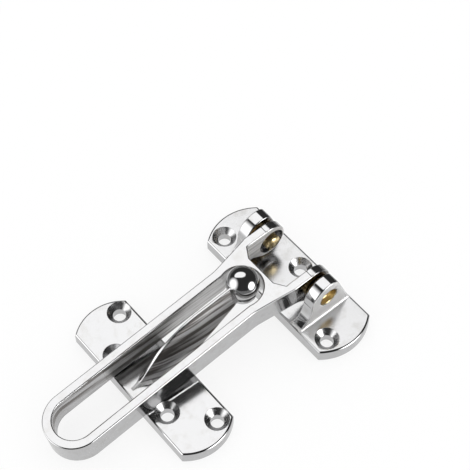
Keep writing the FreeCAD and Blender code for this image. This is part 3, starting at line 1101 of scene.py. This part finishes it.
        # The knuckles' inner sides and the web are painted paler: painted light.
        inside = upright and abs(centre.y) < self.knuckle_inner + 0.1
        if inside and centre.x < self.web_back + 0.5:
            return Grade(satin=1.6, streaks_and_shade=0.3)
        if abs(normal.y) < 0.9:
            return Grade(satin=0.12) if normal.z > 0.98 else Grade()
        if centre.x < self.arm_start:
            floor = self.knuckle_inner + self.sink_depth
            # The floor of the pin's recess is painted dark: painted shade.
            sunk = abs(abs(centre.y) - floor) < 0.1
            return Grade(satin=0.3, streaks_and_shade=2.0) if sunk else Grade(satin=0.2, streaks_and_shade=0.8)
        return Grade(satin=0.2)

    def made(self, pin: Point) -> Workpiece:
        """Makes the whole casting, laid down on the keeper plate.

        Args:
            pin: Place of the pin axis in X and Z.

        Returns:
            Bar, slot, arms, web and knuckles in their places.
        """
        work = Slab(self.plan(), self.base, self.top, self.rim, self.rim,
                    windows=(self.window(),), waist=self.waist).made()
        knuckle = self.knuckle()
        work.join(knuckle.mirrored())
        work.join(knuckle)
        lay = Matrix.Rotation(math.radians(self.tilt), 4, "Y")
        work.place(Matrix.Translation((pin[0], 0.0, pin[1])) @ lay)
        return work


@dataclass(frozen=True)
class KeeperPlate(ScrewPlate):
    """Arched plate with the horn and its ball.

    Attributes:
        distance: Middle of the plate from the origin.
        ball_x, ball_z, ball_radius: The ball, about the plate's middle.
        neck, collar: Radii of the groove under the ball and of the collar under that.
        collar_foot, collar_round: Depth of the collar's foot, and its rounding.
        groove: Inset from the collar, and depth, of the loops between the two.
        stations: X, ridge height and underside height along the horn.
        ridge, lean: Half width of the ridge and the flanks' spread.
        crest: The ridge's rounding, as shares of its half width and of its height.
        crest_round, under_round: Rounding of the ridge, and of the underside off the plate.
        root: Fillet between the horn and the plate.
    """

    half_width: float = 11.2
    half_length: float = 34.25
    arch: float = 16.5
    screws: tuple[Point, ...] = ((-6.2, 27.2), (-6.2, -27.2), (5.2, 14.5), (5.2, -14.5))
    distance: float = 61.3
    ball_x: float = -40.4
    ball_z: float = 22.8
    ball_radius: float = 6.0
    neck: float = 4.4
    collar: float = 4.9
    collar_foot: float = 6.8
    collar_round: float = 0.8
    groove: tuple[Point, ...] = ((0.0, 4.8), (0.08, 4.7), (0.45, 4.32))
    stations: tuple[Triple, ...] = (
        (-38.06, 25.1, 18.4), (-27.26, 24.08, 14.0), (-17.62, 23.25, 10.1), (-9.77, 20.36, 4.9),
        (-3.86, 17.0, 4.9), (1.65, 11.24, 4.9), (5.73, 6.76, 4.9), (9.2, 4.9, 4.9))
    ridge: float = 0.6
    lean: float = 0.31
    crest: tuple[Point, ...] = ((0.0, 1.0), (0.35, 1.0), (0.7, 0.93), (0.92, 0.62), (1.0, 0.0))
    crest_round: float = 0.35
    under_round: float = 0.5
    root: float = 1.5

    def along(self, x: float, column: int) -> float:
        """A height of the horn at x, on a smooth line through the stations.

        Args:
            x: Place along the horn.
            column: 1 for the ridge, 2 for the underside.

        Returns:
            The height.
        """
        rows = self.stations
        last = len(rows) - 2
        index = max(0, min(last, next((i for i in range(last + 1) if x <= rows[i + 1][0]), last)))
        x0, x1 = rows[index][0], rows[index + 1][0]
        share = (x - x0) / (x1 - x0)
        slopes = []
        for place in (index, index + 1):
            low, high = max(0, place - 1), min(len(rows) - 1, place + 1)
            rise = rows[high][column] - rows[low][column]
            slopes.append(rise / (rows[high][0] - rows[low][0]) * (x1 - x0))
        a, b = rows[index][column], rows[index + 1][column]
        square, cube = share ** 2, share ** 3
        return (a * (2 * cube - 3 * square + 1) + slopes[0] * (cube - 2 * square + share)
                + b * (3 * square - 2 * cube) + slopes[1] * (cube - square))

    def half_section(self, x: float) -> list[Point]:
        """Draws half of the horn's cross-section.

        Args:
            x: Place along the horn.

        Returns:
            Points in Y and Z, from the ridge down.
        """
        pieces, bows = 8, 7
        ridge = max(self.along(x, 1), self.thickness - 0.1)
        on_plate = min(1.0, max(0.0, (x + self.half_width + 0.3) / 1.2))
        under = max(self.along(x, 2), self.thickness - 0.03)
        rise = ridge - under
        soft = min(self.crest_round, rise * 0.3)
        points = [(self.ridge * wide, ridge - soft * (1 - high)) for wide, high in self.crest]
        flare = min(self.root, rise * 0.4)
        bend = on_plate * flare - (1 - on_plate) * min(self.under_round, rise * 0.2)
        start = under + abs(bend)
        top = ridge - soft
        for index in range(1, pieces + 1):
            z = top + (start - top) * index / pieces
            points.append((self.ridge + self.lean * (top - z), z))
        edge = points[-1][0]
        for index in range(1, bows + 1):
            angle = math.pi / 2 * index / bows
            y = edge + bend * (1 - math.cos(angle))
            points.append((y, start - abs(bend) * math.sin(angle)))
        return points

    def horn(self) -> Workpiece:
        """Makes the horn, from inside the ball to its foot on the plate.

        Returns:
            The horn, about the plate's middle.
        """
        count = 110
        start, end = self.stations[0][0], self.stations[-1][0]
        rows = []
        for index in range(count + 1):
            x = start + (end - start) * index / count
            half = self.half_section(x)
            outline = half + [(-y, z) for y, z in reversed(half[1:])]
            rows.append([Vector((x, y, z)) for y, z in outline])
        return lofted(rows)

    def ball(self) -> Workpiece:
        """Makes the ball with its groove and collar.

        Returns:
            The three in one, about the plate's middle.
        """
        radius, z, soft = self.ball_radius, self.ball_z, self.collar_round
        foot, inner = z - self.collar_foot, self.collar - soft
        low = math.degrees(math.asin(-math.sqrt(radius ** 2 - self.neck ** 2) / radius))
        profile = [(0.0, foot), (inner - 0.1, foot)]
        profile += arc((inner, foot + soft), soft, -85.0, 0.0, steps=6)
        profile += [(self.collar - inset, z - depth) for inset, depth in self.groove]
        profile += arc((0.0, z), radius, low, 90.0, steps=56)
        profile[-1] = (0.0, z + radius)
        work = turned(profile)
        work.place(Matrix.Translation((self.ball_x, 0.0, 0.0)))
        return work

    def grade(self, centre: Vector, normal: Vector) -> Grade:
        """The plate's top is less than a mirror; the horn's foot and flanks are painted paler as a
        painted light, and its flanks get dark streaks.

        Args:
            centre: Middle of a face.
            normal: Its direction.

        Returns:
            How the face is finished.
        """
        if SCREW.holds(centre - Vector((self.distance, 0.0, 0.0)), self.screws, self.thickness):
            return Grade(satin=0.45)
        if centre.z < self.thickness + 0.2:
            return Grade(satin=0.2) if normal.z > 0.99 else Grade()
        near_ball = (centre.x - self.distance - self.ball_x) ** 2 + centre.y ** 2 < 40.0
        if near_ball:
            return Grade()
        # The horn's foot is painted paler: painted light.
        at_foot = centre.z < self.thickness + 1.6 and centre.x > self.distance + 2.0
        if at_foot:
            return Grade(satin=1.0)
        # The flanks get dark streaks and are painted a little paler: painted light.
        return Grade(satin=0.8, streaks_and_shade=1.15) if abs(normal.y) > 0.6 else Grade(satin=0.2)

    def made(self) -> Workpiece:
        """Makes the whole casting.

        Returns:
            Plate, horn and ball in their places.
        """
        work = self.plate()
        work.join(self.horn())
        work.join(self.ball())
        work.place(Matrix.Translation((self.distance, 0.0, 0.0)))
        return work


@dataclass(frozen=True)
class Hardware:
    """A pin and a washer for one side.

    Attributes:
        shank, head: Radii of the pin.
        inner, shoulder, outer: Its length along Y.
        dome: Depth of the round of its inner end.
        cup_depth, cup_mouth, cup_floor: Depth and radii of the cup in its head.
        washer, washer_bore, washer_inner: The spacer washer against the ear.
        edge: Breadth of the broken edges.
    """

    shank: float = 3.0
    head: float = 3.78
    inner: float = 8.5
    shoulder: float = 15.5
    outer: float = 19.9
    dome: float = 1.35
    cup_depth: float = 2.2
    cup_mouth: float = 3.3
    cup_floor: float = 2.95
    washer: float = 5.0
    washer_bore: float = 3.2
    washer_inner: float = 13.9
    edge: float = 0.15

    @staticmethod
    def pin_grade(centre: Vector, normal: Vector) -> Grade:
        """Turned all over, so neither brushed nor streaky."""
        return Grade()

    @staticmethod
    def spacer_grade(centre: Vector, normal: Vector) -> Grade:
        """Darkened all over with dark streaks, a painted shade for the gap where the washer sits.
        """
        return Grade(streaks_and_shade=1.6)

    def pin(self) -> Workpiece:
        """Makes a pin with a domed inner end and a hollow head.

        Returns:
            The pin, standing on its inner end.
        """
        steps = 12
        angles = [math.pi / 2 * index / steps for index in range(steps + 1)]
        profile = [(self.shank * math.sin(angle), self.inner + self.dome * (1 - math.cos(angle)))
                   for angle in angles]
        floor = self.outer - self.cup_depth
        profile += [
            (self.shank, self.shoulder), (self.head, self.shoulder),
            (self.head, self.outer - self.edge), (self.head - self.edge, self.outer),
            (self.cup_mouth + 0.1, self.outer), (self.cup_mouth, self.outer - 0.1),
            (self.cup_floor, floor + 0.25), (self.cup_floor - 0.25, floor), (0.0, floor)]
        return turned(profile)

    def spacer(self) -> Workpiece:
        """Makes a washer with broken edges.

        Returns:
            The ring, flat.
        """
        near, far, edge = self.washer_inner, self.shoulder, self.edge
        seat = far - 0.005
        return turned([
            (self.washer_bore, near + edge), (self.washer_bore + edge, near),
            (self.washer - edge, near), (self.washer, near + edge), (self.washer, far - edge),
            (self.washer - edge, seat), (self.washer_bore + edge, seat),
            (self.washer_bore, far - edge), (self.washer_bore, near + edge)])

    @staticmethod
    def laid(work: Workpiece, pin: Point, side: float) -> Workpiece:
        """Lays a turned piece along Y.

        Args:
            work: The piece, about Z.
            pin: Place of the pin axis in X and Z.
            side: +1 for positive Y, -1 for negative Y.

        Returns:
            The same piece.
        """
        rows = ((1, 0, 0, pin[0]), (0, 0, side, 0), (0, -side, 0, pin[1]), (0, 0, 0, 1))
        work.place(Matrix(rows))
        bmesh.ops.recalc_face_normals(work.bm, faces=work.bm.faces)
        return work


# Studio


@dataclass(frozen=True)
class Camera:
    """The photograph's viewpoint.

    Attributes:
        azimuth, elevation, roll: Its direction in degrees.
        distance: Millimetres to the target.
        target: Point in the middle of the frame.
        focal, frame_width: Focal length and width of the frame, in pixels.
        sensor: Width of the sensor, in millimetres.
    """

    azimuth: float = 140.27
    elevation: float = 56.05
    roll: float = -0.33
    distance: float = 504.25
    target: Triple = (0.44, -28.64, 0.0)
    focal: float = 1357.58
    frame_width: float = 470.0
    sensor: float = 36.0

    def placed(self) -> None:
        """Creates the camera and makes it the scene's."""
        az, el, roll = (math.radians(v) for v in (self.azimuth, self.elevation, self.roll))
        back = Vector((math.sin(az) * math.cos(el), -math.cos(az) * math.cos(el), math.sin(el)))
        right = Vector((math.cos(az), math.sin(az), 0.0))
        up = back.cross(right)
        x_axis = right * math.cos(roll) + up * math.sin(roll)
        y_axis = up * math.cos(roll) - right * math.sin(roll)
        data = bpy.data.cameras.new("Camera")
        data.sensor_width = self.sensor
        data.lens = self.sensor * self.focal / self.frame_width
        data.clip_start = 0.01
        made = bpy.data.objects.new("Camera", data)
        bpy.context.scene.collection.objects.link(made)
        place = (Vector(self.target) + back * self.distance) * MM
        rotation = Matrix((x_axis, y_axis, back)).transposed().to_4x4()
        made.matrix_world = Matrix.Translation(place) @ rotation
        bpy.context.scene.camera = made


@dataclass(frozen=True)
class Softbox:
    """A bright panel of the studio, as the metal mirrors it.

    Attributes:
        azimuth, elevation: Where its plane faces, azimuth from +X towards +Y, in degrees.
        width, height: Its half sizes, at one unit from the middle of the studio.
        strength: Brightness.
        aside, lift: Its middle on that plane, across and up.
        edge: Softness of its rim, as a share of its size.
        corner: 2 for an oval panel, more for squarer corners.
    """

    azimuth: float
    elevation: float
    width: float
    height: float
    strength: float
    aside: float = 0.0
    lift: float = 0.0
    edge: float = 0.06
    corner: float = 2.0

    def glow(self, shop: PaintShop, ray: Wire) -> Wire:
        """Brightness of the panel for a ray's direction.

        Args:
            shop: The world's nodes.
            ray: The direction.

        Returns:
            Its strength inside the rim, 0 outside.
        """
        az, el = math.radians(self.azimuth), math.radians(self.elevation)
        facing = (math.cos(az) * math.cos(el), math.sin(az) * math.cos(el), math.sin(el))
        across = (-math.sin(az), math.cos(az), 0.0)
        upright = tuple(Vector(facing).cross(Vector(across)))
        parts = []
        for axis in (facing, across, upright):
            dot = shop.node("ShaderNodeVectorMath", {"operation": "DOT_PRODUCT"}, {0: ray, 1: axis})
            parts.append(dot["Value"])
        ahead = parts[0].at_least(0.001)
        spread = 0.0
        for part, size, shift in zip(parts[1:], (self.width, self.height), (self.aside, self.lift)):
            spread = ((part / ahead - shift) / size).size() ** self.corner + spread
        reach = spread ** (1.0 / self.corner)
        inside = 1.0 - reach.step(1.0 - self.edge, 1.0 + self.edge)
        return inside * parts[0].above(0.0) * self.strength


@dataclass(frozen=True)
class Studio:
    """Pale floor and a dark room with softboxes.

    Attributes:
        boxes: The softboxes.
        room: Brightness of the room around the softboxes, as polished metal mirrors it.
        fill: Even light on everything that isn't polished.
        drop: Depth of the floor under the door guard, in metres.
        paper: How much of the floor is pure white to the camera and the metal.
        fade_from, fade_to: Metres of a mirrored ray over which the floor fades.
        clear, clearer: How clear it is there at first, and how much clearer it gets.
    """

    boxes: tuple[Softbox, ...]
    room: float = 0.04
    fill: float = 1.04
    drop: float = 0.0002
    paper: float = 0.82
    fade_from: float = 0.045
    fade_to: float = 0.075
    clear: float = 0.2
    clearer: float = 0.62

    def world(self) -> None:
        """Writes the room and the softboxes into the world."""
        world = bpy.data.worlds.new("Studio")
        bpy.context.scene.world = world
        shop = PaintShop(world)
        ray = shop.node("ShaderNodeTexCoord")["Generated"]
        light = self.room
        for box in self.boxes:
            light = box.glow(shop, ray) + light
        paths = shop.node("ShaderNodeLightPath")
        shown, mirrored = paths["Is Camera Ray"], paths["Is Glossy Ray"]
        strength = light * mirrored + (1.0 - mirrored) * (1.0 - shown) * self.fill + shown
        sky = shop.node("ShaderNodeBackground", None, {"Color": WHITE, "Strength": strength})
        shop.node("ShaderNodeOutputWorld", None, {"Surface": sky["Background"]})
        world.cycles.sampling_method = "NONE"

    def floor(self) -> None:
        """Lays a pale floor that stays white and keeps the shadows."""
        mesh = bpy.data.meshes.new("Floor")
        bm = bmesh.new()
        bmesh.ops.create_grid(bm, x_segments=1, y_segments=1, size=3.0)
        bm.to_mesh(mesh)
        bm.free()
        floor = bpy.data.objects.new("Floor", mesh)
        floor.location = (0.0, 0.0, -self.drop)
        bpy.context.scene.collection.objects.link(floor)
        mesh.materials.append(self.floor_material())

    def floor_material(self) -> bpy.types.Material:
        """Writes the floor's shader.

        Returns:
            The material.
        """
        material = bpy.data.materials.new("Pale floor")
        shop = PaintShop(material)
        diffuse = shop.node("ShaderNodeBsdfDiffuse", None, {"Color": (0.97, 0.97, 0.97, 1.0)})
        white = shop.node("ShaderNodeEmission", None, {"Color": WHITE})
        nothing = shop.node("ShaderNodeBsdfTransparent", None, {"Color": WHITE})
        paths = shop.node("ShaderNodeLightPath")
        seen = paths["Is Camera Ray"] + paths["Is Glossy Ray"]
        paper = shop.node("ShaderNodeMixShader", None, {
            0: seen * self.paper, 1: diffuse["BSDF"], 2: white["Emission"]})
        fading = paths["Ray Length"].step(self.fade_from, self.fade_to) * self.clearer + self.clear
        faded = shop.node("ShaderNodeMixShader", None, {
            0: paths["Is Glossy Ray"] * fading, 1: paper["Shader"], 2: nothing["BSDF"]})
        shop.node("ShaderNodeOutputMaterial", None, {"Surface": faded["Shader"]})
        return material


# Assembly


@dataclass
class DoorGuard:
    """The whole product: builds each piece, dresses it and lets it ride.

    Attributes:
        finishes: The material of each slot.
        hinge, bar, keeper, hardware: The designs of its pieces.
    """

    finishes: dict[Metal, bpy.types.Material]
    hinge: HingePlate = HingePlate()
    bar: SwingBar = SwingBar()
    keeper: KeeperPlate = KeeperPlate()
    hardware: Hardware = Hardware()

    def add(self, name: str, work: Workpiece, grade: Grader, body: Body, metal: Metal,
            node: str) -> None:
        """Finishes one piece.

        Args:
            name: Its name.
            work: Its mesh in millimetres.
            grade: Where it is polished or brushed, and where it gets dark streaks, painted shade or
                painted light.
            body: What it rides on.
            metal: Its finish.
            node: The CAD node that it stands for.
        """
        piece = work.finished(name, grade)
        piece.data.materials.append(self.finishes[metal])
        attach(piece, body.value)
        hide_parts(node)
        LOG.info("%s: %d faces on %s", name, len(piece.data.polygons), body.value)

    def build(self) -> None:
        """Makes every piece."""
        hinge, bar, keeper, hardware = self.hinge, self.bar, self.keeper, self.hardware
        for name, work, grade, body, node in (
                ("hinge_casting", hinge.made(), hinge.grade, Body.BASE, "hinge_plate"),
                ("bar_casting", bar.made(hinge.pin), bar.grade, Body.BAR, "swing_bar"),
                ("keeper_casting", keeper.made(), keeper.grade, Body.BASE, "keeper_plate")):
            self.add(name, work, grade, body, Metal.CHROME, node)
        for side, sense in (("left", -1.0), ("right", 1.0)):
            shank = hardware.laid(hardware.pin(), hinge.pin, sense)
            self.add(side + "_hinge_pin", shank, hardware.pin_grade, Body.BASE, Metal.BRASS,
                     side + "_pin")
            ring = hardware.laid(hardware.spacer(), hinge.pin, sense)
            self.add(side + "_spacer", ring, hardware.spacer_grade, Body.BASE, Metal.BRASS,
                     side + "_washer")


# pale paints brushed faces paler, a painted light; streak paints dark streaks and painted shade.
CHROME = Finish(
    slot=Metal.CHROME, colour=(0.60, 0.60, 0.605), shade=(0.56, 0.555, 0.55),
    pale=(0.88, 0.875, 0.87), streak_and_shade_colour=(0.20, 0.187, 0.178), gloss=0.06, satin=0.5,
    haze=0.03, wave=0.000015, wave_scale=80.0, scratch=0.0000006, furrow=0.00006)
# streak paints the washers darker all over, a painted shade; pale is the plain brass colour.
BRASS = Finish(
    slot=Metal.BRASS, colour=(0.92, 0.77, 0.45), shade=(0.74, 0.57, 0.30),
    pale=(0.92, 0.77, 0.45), streak_and_shade_colour=(0.30, 0.20, 0.08), gloss=0.27, satin=0.5,
    haze=0.10, wave=0.00002, wave_scale=300.0, scratch=0.000002, furrow=0.0)

STUDIO = Studio(boxes=(
    Softbox(azimuth=-55.0, elevation=90.0, width=0.48, height=0.84, strength=1.48,
            aside=-0.44, lift=-0.65, corner=2.5),
    Softbox(azimuth=338.0, elevation=13.0, width=0.50, height=0.58, strength=2.2, edge=0.7),
    Softbox(azimuth=110.0, elevation=11.0, width=0.33, height=0.36, strength=6.5, edge=0.55),
))


def main() -> None:
    """Builds the door guard and its studio."""
    logging.basicConfig(level=logging.INFO, format="%(name)s %(message)s")
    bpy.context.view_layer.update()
    bpy.context.scene.view_settings.view_transform = "Standard"
    Camera().placed()
    STUDIO.world()
    STUDIO.floor()
    guard = DoorGuard(finishes={Metal.CHROME: CHROME.material(), Metal.BRASS: BRASS.material()})
    guard.build()


if __name__ == "__main__":
    main()
